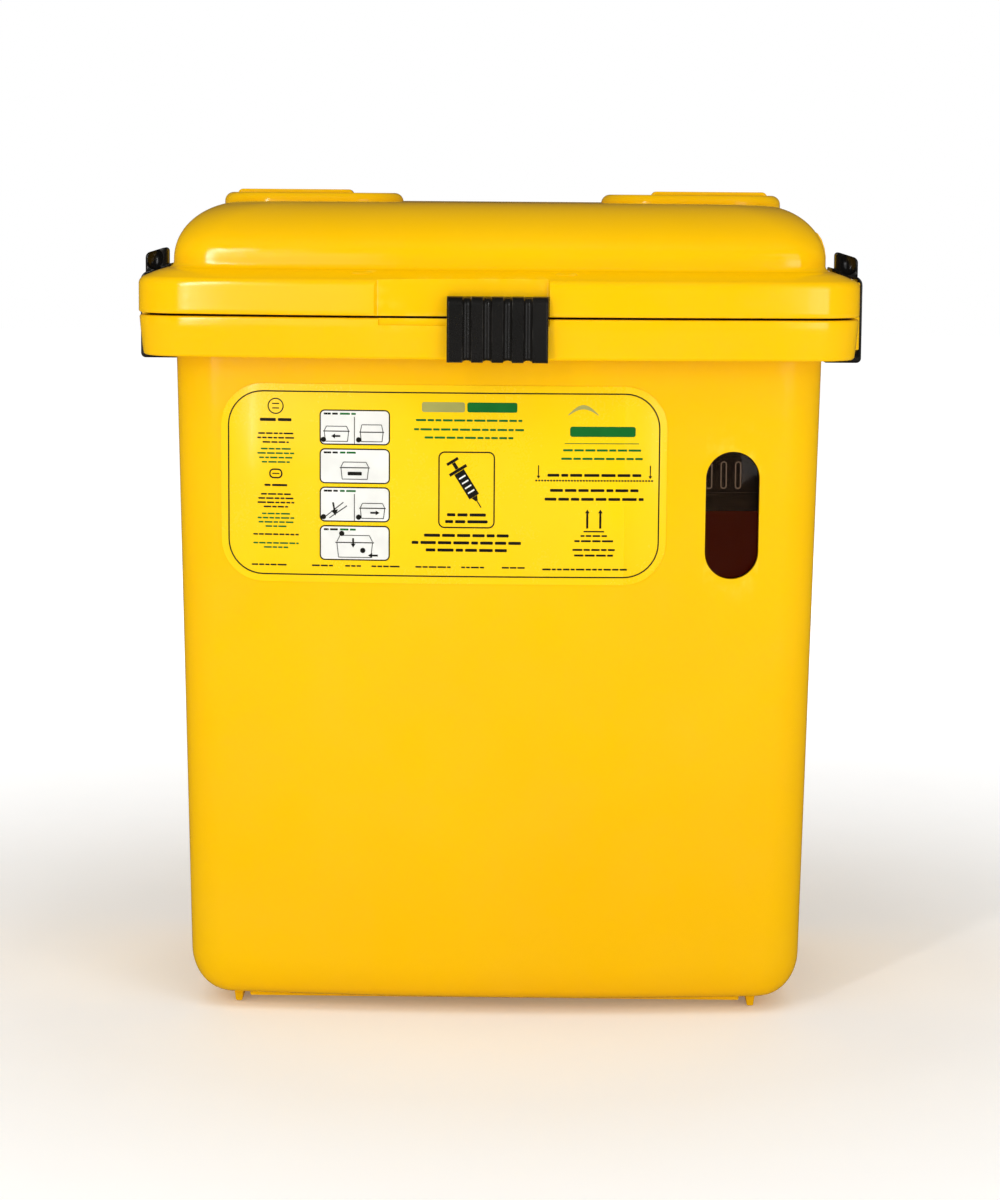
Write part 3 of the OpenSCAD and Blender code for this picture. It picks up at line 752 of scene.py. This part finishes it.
def lock_mesh(s):
    """Side lock: a plate that grips the pads from below, an arm over the ledge, and a thumb tab."""
    sec = [(211.8, 380.4), (195, 380.4), (195, 387), (192.6, 387), (192.6, 374.5), (214.8, 374.5),
           (214.8, 424.6), (204.6, 427.7), (196.5, 430.9), (196.4, 428.7), (204, 425.5), (205.2, 424.3),
           (211.8, 424.2)]
    sec = rounded(sec, [0.6, 0.6, 1.0, 1.0, 1.4, 2.8, 5.5, 3.0, 0.9, 0.5, 2.0, 1.0, 0.8], 6)
    lock = bevel(prism("lock", sec, -23, 11, "y"), 0.6, 3, 50, 40)
    tab = [(198.8, 428.8), (212.1, 424.9), (212.1, 436.4), (198.8, 440.5)]
    tab = bevel(prism("tab", rounded(tab, [0, 0, 3.6, 2.0], 7), -20.4, -8, "y"), 0.8, 4, 50, 40)
    toe = [(-19.5, 425.3), (-22.9, 425.3), (-22.9, 428.9), (-22.2, 429.3), (-21.5, 430.2), (-20.9, 431.6),
           (-20.5, 433.6), (-19.5, 435)]
    toe = bevel(prism("toe", toe, 203.4, 211.4, "x"), 0.5, 2, 60, 40)
    combine(lock, [tab, toe], "UNION", 40)
    cuts = [ball("scoop", (206.0, -23.6, 433.6), (5.9, 5.2, 7.2))]
    for y in (-15, -6, 3):
        groove = rounded([(y - 1, 388), (y + 1, 388), (y + 1, 418), (y - 1, 418)], 0.98, 6)
        cuts.append(prism("groove", groove, 214.2, 218, "x"))
    combine(lock, cuts, "DIFFERENCE", 40)
    if s < 0:
        move(lock, Matrix.Diagonal((-1, 1, 1, 1)))
    return lock


for s, side in ((1, "right"), (-1, "left")):
    k = lock_mesh(s)
    k.name = k.data.name = "lock_moulding_" + side
    finish_piece(k, "lock_" + side, glossy, "lock_plastic", "side_lock_" + side)

# ---------------------------------------------------------------- label


def wrap(name, shapes, out, thick=0.1):
    """Flat shapes laid on the bowed front wall as thin closed plates.

    A shape is a list of (x, z) points, or a pair of such lists for the outside and inside of a frame."""
    verts, faces = [], []
    for shape in shapes:
        bm = bmesh.new()
        if isinstance(shape, tuple):
            rims = [[bm.verts.new((x, 0, z)) for x, z in ring] for ring in shape]
            n = len(rims[0])
            for i in range(n):
                j = (i + 1) % n
                bm.faces.new((rims[0][i], rims[0][j], rims[1][j], rims[1][i]))
        else:
            bm.faces.new([bm.verts.new((x, 0, z)) for x, z in shape])
        xs = [v.co.x for v in bm.verts]
        for cut in range(12 * math.ceil(min(xs) / 12), math.ceil(max(xs)), 12):
            everything = bm.verts[:] + bm.edges[:] + bm.faces[:]
            bmesh.ops.bisect_plane(bm, geom=everything, plane_co=(cut, 0, 0), plane_no=(1, 0, 0))
        bmesh.ops.triangulate(bm, faces=[f for f in bm.faces if len(f.verts) > 4])
        bm.normal_update()
        if sum(f.normal.y for f in bm.faces) > 0:
            bmesh.ops.reverse_faces(bm, faces=bm.faces[:])
        base, n = len(verts), len(bm.verts)
        bm.verts.index_update()
        verts += [(v.co.x, wall_y(v.co.x, v.co.z, out + thick), v.co.z) for v in bm.verts]
        verts += [(v.co.x, wall_y(v.co.x, v.co.z, out), v.co.z) for v in bm.verts]
        for f in bm.faces:
            ids = [base + v.index for v in f.verts]
            faces += [tuple(ids), tuple(n + i for i in reversed(ids))]
        for e in bm.edges:
            if e.is_boundary:
                loop = e.link_loops[0]
                a, b = base + loop.vert.index, base + loop.link_loop_next.vert.index
                faces.append((b, a, n + a, n + b))
        bm.free()
    return new_object(name, verts, faces, 30, merge=False)


def rect(x0, z0, x1, z1, r=0.0):
    pts = [(x0, z0), (x1, z0), (x1, z1), (x0, z1)]
    return rounded(pts, r, 8) if r else pts


def frame_shape(x0, z0, x1, z1, r, w):
    """A line frame, as its outside and inside outlines."""
    return [(rounded(rect(x0, z0, x1, z1), r, 10),
             rounded(rect(x0 + w, z0 + w, x1 - w, z1 - w), max(r - w, 0.05), 10))]


def line(x0, z0, x1, z1, w):
    """A straight stroke of width w."""
    d = Vector((x1 - x0, z1 - z0)).normalized() * (w / 2)
    return [(x0 + d.y, z0 - d.x), (x1 + d.y, z1 - d.x), (x1 - d.y, z1 + d.x), (x0 - d.y, z0 + d.x)]


def arrow(x, z, dx, dz, size, w=0.7):
    """A plain arrow whose tip is at x, z and which points along dx, dz."""
    d = Vector((dx, dz)).normalized()
    n = Vector((-d.y, d.x))
    tip, back = Vector((x, z)), Vector((x, z)) - d * size * 0.42
    tail = Vector((x, z)) - d * size
    head = [tip, back + n * size * 0.26, back - n * size * 0.26]
    shaft = [back + n * w / 2, tail + n * w / 2, tail - n * w / 2, back - n * w / 2]
    return [[tuple(p) for p in head], [tuple(p) for p in shaft]]


word = random.Random(11)


def bars(cx, z, widths, h=1.3, step=3.4, left=False):
    """Plain bars of uneven length in place of lines of print, centred on cx or starting at it."""
    out = []
    for row, w in enumerate(widths):
        zz = z - row * step
        x = cx if left else cx - w / 2
        end = x + w
        while x < end - h:
            length = h * word.uniform(2.2, 5.4)
            if end - x - length < h * 2.2:
                length = end - x
            out.append(rect(x, zz, x + length, zz + h, h * 0.3))
            x += length + h * 0.7
    return out


LX0, LX1, LZ0, LZ1 = -153.0, 92.0, 257.0, 362.0  # the label's printed frame
film_ob = wrap("label_film", [rect(LX0 - 4, LZ0 - 4, LX1 + 4, LZ1 + 4, 24)], 0.02, 0.36)
bevel(film_ob, 0.12, 2, 60, 40)
finish_piece(film_ob, "bin", film, "label_film", "label_panel")

black_shapes = frame_shape(LX0, LZ0, LX1, LZ1, 20, 0.75)
white_shapes, green_shapes, grey_shapes = [], [], []

# pictogram column: four white panels with plain drawings
PX0, PX1 = -100.6, -60.6
rows = [(331.6, 351.6), (309.6, 329.6), (287.8, 307.8), (265.8, 285.8)]
for z0, z1 in rows:
    black_shapes += frame_shape(PX0, z0, PX1, z1, 3, 0.7)
    white_shapes.append(rect(PX0 + 0.75, z0 + 0.75, PX1 - 0.75, z1 - 0.75, 2.3))
    black_shapes += bars(PX0 + 2.4, z1 - 2.9, [8], 1.1, 2, True)
    green_shapes += bars(PX0 + 11.6, z1 - 2.9, [9], 1.1, 2, True)
art = []


def small_bin(cx, z, w, lid_open=False):
    """Line drawing of a box of width w with its lid on, or with a taller open top."""
    h = w * 0.62
    low, high, half_top = (0.64, 1.1, 0.4) if lid_open else (0.66, 0.92, 0.38)
    out = [line(cx - w * 0.42, z, cx + w * 0.42, z, 0.4)]
    out += [line(cx + w * 0.42 * s, z, cx + w * 0.46 * s, z + h * 0.6, 0.4) for s in (-1, 1)]
    out.append(line(cx - w * 0.5, z + h * 0.62, cx + w * 0.5, z + h * 0.62, 0.55))
    out += [line(cx + w * 0.46 * s, z + h * low, cx + w * half_top * s, z + h * high, 0.4) for s in (-1, 1)]
    out.append(line(cx - w * half_top, z + h * high, cx + w * half_top, z + h * high, 0.4))
    return out


art += small_bin(-91, 333.6, 15) + arrow(-94, 336.6, -1, 0, 5.2, 1.0) + small_bin(-71, 333.6, 14, True)
art += [rect(-81.0, 332.4, -80.6, 347.6)]
art += small_bin(-80.6, 312.2, 17) + [rect(-84.6, 314.4, -76.6, 316.4, 0.4)]
art += small_bin(-70.5, 290.0, 15) + arrow(-66.5, 293.2, 1, 0, 5.2, 1.0)
art += arrow(-91.5, 291.4, 0.2, -1, 7.6, 1.0)
art += [line(-97, 291, -87, 299, 0.5), line(-95, 290, -85, 297, 0.5), rect(-81.0, 288.6, -80.6, 303.8)]
art += small_bin(-80.6, 267.6, 22) + arrow(-81.5, 273.2, 0, -1, 5.4, 1.0) + arrow(-73, 268.8, -1, 0, 5.6, 1.0)
dots = [(-98.4, 334.6), (-78.4, 334.6), (-98.4, 290.6), (-78.4, 290.6), (-88.0, 281.2), (-76.0, 271.6)]
art += [circle(x, z, 1.5, 16) for x, z in dots]

# left column of plain bars with two rounded marks
TEXT_X = -125.6  # the column's middle
black_shapes.append((circle(TEXT_X, 353.2, 4.6, 32), circle(TEXT_X, 353.2, 3.95, 32)))
black_shapes += [line(-127.6, 354.6, -123.6, 354.6, 0.6), line(-127.6, 352.0, -123.6, 352.0, 0.6)]
black_shapes += bars(TEXT_X, 344.6, [18], 1.7)
black_shapes += bars(TEXT_X, 337.2, [20, 21, 15], 0.9, 2.5)
green_shapes += bars(TEXT_X, 328.4, [17, 21, 19, 16], 0.9, 2.5)
black_shapes += frame_shape(-129.4, 312.0, -121.8, 317.6, 2.6, 0.8)
black_shapes += [line(-127.6, 314.8, -123.6, 314.8, 0.6)]
black_shapes += bars(TEXT_X, 307.6, [13], 1.2)
black_shapes += bars(TEXT_X, 302.6, [17, 20, 21, 14], 0.9, 2.4)
green_shapes += bars(TEXT_X, 291.4, [16, 21, 20, 12], 0.9, 2.4)
black_shapes += bars(TEXT_X, 279.6, [26], 0.9)
green_shapes += bars(TEXT_X, 274.6, [26, 14], 0.9, 2.4)

# middle column: heading bars, a framed plain syringe drawing, and two bold rows
grey_shapes += [rect(-42.6, 350.8, -18.4, 356.4, 1.2)]
green_shapes += [rect(-17.0, 350.8, 11.2, 356.4, 1.2)]
green_shapes += bars(-16, 345.6, [60], 1.2)
green_shapes += bars(-16, 340.4, [62], 1.2)
green_shapes += bars(-16, 335.8, [50], 1.2)
black_shapes += frame_shape(-33.2, 285.0, -1.2, 328.6, 3.6, 0.75)


def turned(points):
    """Points of the syringe drawing, enlarged, leaned over and put in its frame."""
    cx, cz, size, lean = -18.0, 311.4, 1.22, math.radians(32)
    c, s = math.cos(lean), math.sin(lean)
    return [(cx + size * (x * c - z * s), cz + size * (x * s + z * c)) for x, z in points]


syringe = [rect(-2.6, -8, 2.6, 5.4), rect(-4.6, 5.6, 4.6, 7.0), rect(-0.8, 7.1, 0.8, 10.4),
           rect(-3, 10.5, 3, 11.8), [(-1.5, -8.1), (-0.45, -10.4), (0.45, -10.4), (1.5, -8.1)],
           rect(-0.25, -14, 0.25, -10.5)]
black_shapes += [turned(shape) for shape in syringe]
white_shapes += [turned(rect(-1.7, z, 1.7, z + 0.7)) for z in (-5.6, -3.0, -0.4, 2.2)]
black_shapes += bars(-17.2, 291.8, [22], 1.7) + bars(-17.2, 287.9, [24], 1.7)
for z, width in ((280.0, 48), (275.8, 62), (271.6, 46)):
    black_shapes += bars(-17.2, z, [width], 1.7)

# right column: a plain green heading, the fill line and arrows
rise = [(i / 12, math.sin(math.pi * i / 12)) for i in range(13)]
grey_shapes.append([(40 + 17 * u, 350 + 5.4 * v) for u, v in rise]
                   + [(57 - 17 * u, 349.4 + 3.6 * v) for u, v in rise])
green_shapes += [rect(41.0, 337.4, 78.0, 343.2, 1.4), line(38, 333.6, 80, 333.6, 0.4)]
green_shapes += bars(59.2, 329.2, [44], 1.2)
green_shapes += bars(59.2, 324.4, [46], 1.2)
DASH_PITCH = 1.68
for k in range(40):
    black_shapes.append(rect(21.6 + k * DASH_PITCH, 312.1, 22.7 + k * DASH_PITCH, 313.0))
for x in (23.4, 86.6):
    black_shapes += arrow(x, 313.6, 0, -1, 4.0, 0.5) + [rect(x - 0.3, 316.8, x + 0.3, 321.2)]
black_shapes += bars(55, 314.8, [53], 1.6) + bars(55, 306.2, [50], 1.6) + bars(55, 301.2, [56], 1.6)
for x in (51.2, 58.6):
    black_shapes += arrow(x, 296.2, 0, 1, 5.0, 1.1) + [rect(x - 0.6, 285.4, x + 0.6, 292.0)]
black_shapes += [rect(49.2, 283.2, 60.8, 284.0)] + bars(55, 280.6, [15], 1.0)
black_shapes += bars(55, 277.6, [22], 1.1) + bars(55, 272.6, [24], 1.1) + bars(55, 269.4, [22], 1.1)

# bottom row
black_shapes += bars(-139.6, 262.2, [20], 0.9, 3, True)
for x, w in ((-105, 12), (-86, 9), (-71, 16), (-46, 20), (-20, 13), (3, 13)):
    black_shapes += bars(x, 262.2, [w], 0.9, 3, True)
black_shapes += bars(26, 261.4, [48], 1.0, 3, True)

prints = [("print_white", white_shapes, 0.385, ink_white), ("print_black", black_shapes, 0.385, ink_black),
          ("print_green", green_shapes, 0.385, ink_green), ("print_grey", grey_shapes, 0.385, ink_grey),
          ("print_drawings", art, 0.5, ink_black)]
for name, shapes, out, mat in prints:
    ob = wrap(name, shapes, out, 0.1)
    finish_piece(ob, "bin", mat, "label_film")

# ---------------------------------------------------------------- rims of the chute's slots


def slot_rims():
    """Low rims round the blind slots on the front of the chute's skirt."""
    inner_loop, outer_loop = stadium(2.3, 14.4, 12), stadium(3.5, 15.6, 12)
    pitch, skirt_y = 8.07, -118
    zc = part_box("chute_frame")[0][2] / S + 20.4
    verts, faces, n = [], [], len(inner_loop)
    for k in range(-17, 18):
        base = len(verts)
        for loop, out in ((outer_loop, -0.3), (outer_loop, 0.35), (inner_loop, 0.35), (inner_loop, -0.3)):
            for u, v in loop:
                x = pitch * k + u
                verts.append((x, bow(x) + skirt_y - out, zc + v))
        for ring in range(4):
            a, b = base + ring * n, base + (ring + 1) % 4 * n
            faces += [(a + i, a + (i + 1) % n, b + (i + 1) % n, b + i) for i in range(n)]
    return bevel(new_object("chute_slot_rims", verts, faces, 30, merge=False), 0.12, 2, 50, 40)


finish_piece(slot_rims(), "bin", rim_grey, "chute_plastic")

# ---------------------------------------------------------------- carried-over CAD nodes

looks = {"window_gasket": rubber, "chute_frame": chute_black, "chute_screws": zinc, "rim_seal": rubber,
         "hinge_pins": steel, "tray_bush_left": acetal, "tray_bush_right": acetal, "tray_bumpers": rubber,
         "grip_screws": zinc, "tray": grained, "tray_axle": steel, "axle_clips": spring, "counterweight": bar,
         "counterweight_cover": grained, "latch_clip": grained, "latch_screws": zinc}
for node, mat in looks.items():
    ob = frame["nodes"][node]
    for o in [ob] + list(ob.children_recursive):
        if o.type == "MESH":
            if not o.material_slots:
                o.data.materials.append(mat)
            for ms in o.material_slots:
                ms.material = mat

# ---------------------------------------------------------------- floor, light, camera

floor_mesh = bpy.data.meshes.new("floor")
floor_mesh.from_pydata([(-9, -7, 0), (9, -7, 0), (9, 9, 0), (-9, 9, 0)], [], [(0, 1, 2, 3)])
floor = bpy.data.objects.new("floor", floor_mesh)
bpy.context.scene.collection.objects.link(floor)
floor.location.z = -0.0004
floor.visible_glossy = False  # so that it lays no pale veil on the glossy plastic
floor_mesh.materials.append(pale_floor)

WHITE = (1.0, 1.0, 1.0, 1.0)
FILL, GLOSS, BACKDROP = 0.45, 0.04, 1.0  # the room's radiance as light, in reflections and as seen
world = bpy.data.worlds.new("studio")
bpy.context.scene.world = world
world.use_nodes = True
wt = world.node_tree
path = wt.nodes.new("ShaderNodeLightPath")
shader = wt.nodes["Background"].outputs["Background"]
wt.nodes["Background"].inputs["Color"].default_value = WHITE
wt.nodes["Background"].inputs["Strength"].default_value = FILL
for ray, strength in (("Is Glossy Ray", GLOSS), ("Is Camera Ray", BACKDROP)):
    bg = wt.nodes.new("ShaderNodeBackground")
    bg.inputs["Color"].default_value = WHITE
    bg.inputs["Strength"].default_value = strength
    pick = wt.nodes.new("ShaderNodeMixShader")
    wt.links.new(path.outputs[ray], pick.inputs[0])
    wt.links.new(shader, pick.inputs[1])
    wt.links.new(bg.outputs["Background"], pick.inputs[2])
    shader = pick.outputs["Shader"]
wt.links.new(shader, wt.nodes["World Output"].inputs["Surface"])


def softbox(name, azimuth, distance, z0, z1, width, radiance, tilt=0.0):
    """Upright soft light at an azimuth (0 in front, positive to the right), from height z0 to z1 in metres."""
    data = bpy.data.lights.new(name, "AREA")
    data.shape = "RECTANGLE"
    data.size, data.size_y = width, z1 - z0
    data.energy = radiance * math.pi * width * (z1 - z0)
    ob = bpy.data.objects.new(name, data)
    bpy.context.scene.collection.objects.link(ob)
    a = math.radians(azimuth)
    ob.location = (distance * math.sin(a), -distance * math.cos(a), (z0 + z1) / 2)
    away = Vector((-math.sin(a), math.cos(a), -math.tan(math.radians(tilt))))
    ob.rotation_euler = away.to_track_quat("-Z", "Y").to_euler()
    ob.visible_camera = False
    return ob


softbox("left_bright", -25.4, 2.56, 0.5, 2.4, 0.14, 20.0)
softbox("left_low", -25.4, 2.56, 0.2, 0.5, 0.14, 7.0)
softbox("left_soft", -17, 2.6, 0.22, 1.6, 0.6, 0.8)
softbox("right_box", 34, 2.58, 0.22, 0.85, 1.04, 2.8)
softbox("right_upper", 34, 2.58, 0.85, 2.2, 1.04, 1.2)
softbox("overhead", 0, 1.2, 2.0, 3.2, 2.4, 1.7, 60).visible_glossy = False
softbox("rear", 180, 2.6, 0.6, 2.4, 2.4, 1.2).visible_glossy = False

cam_data = bpy.data.cameras.new("camera")
cam_data.lens = 97.02
cam_data.sensor_width = 36
cam_data.clip_end = 60
cam = bpy.data.objects.new("camera", cam_data)
bpy.context.scene.collection.objects.link(cam)
yaw, pitch, roll = math.radians(-0.731), math.radians(7.20), math.radians(0.42)
look = Vector((math.sin(yaw) * math.cos(pitch), math.cos(yaw) * math.cos(pitch), -math.sin(pitch)))
cam.rotation_mode = "QUATERNION"
cam.rotation_quaternion = look.to_track_quat("-Z", "Y") @ Matrix.Rotation(roll, 4, "Z").to_quaternion()
cam.location = (0.0254, -1.955, 0.4744)
bpy.context.scene.camera = cam
bpy.context.scene.view_settings.view_transform = "Standard"
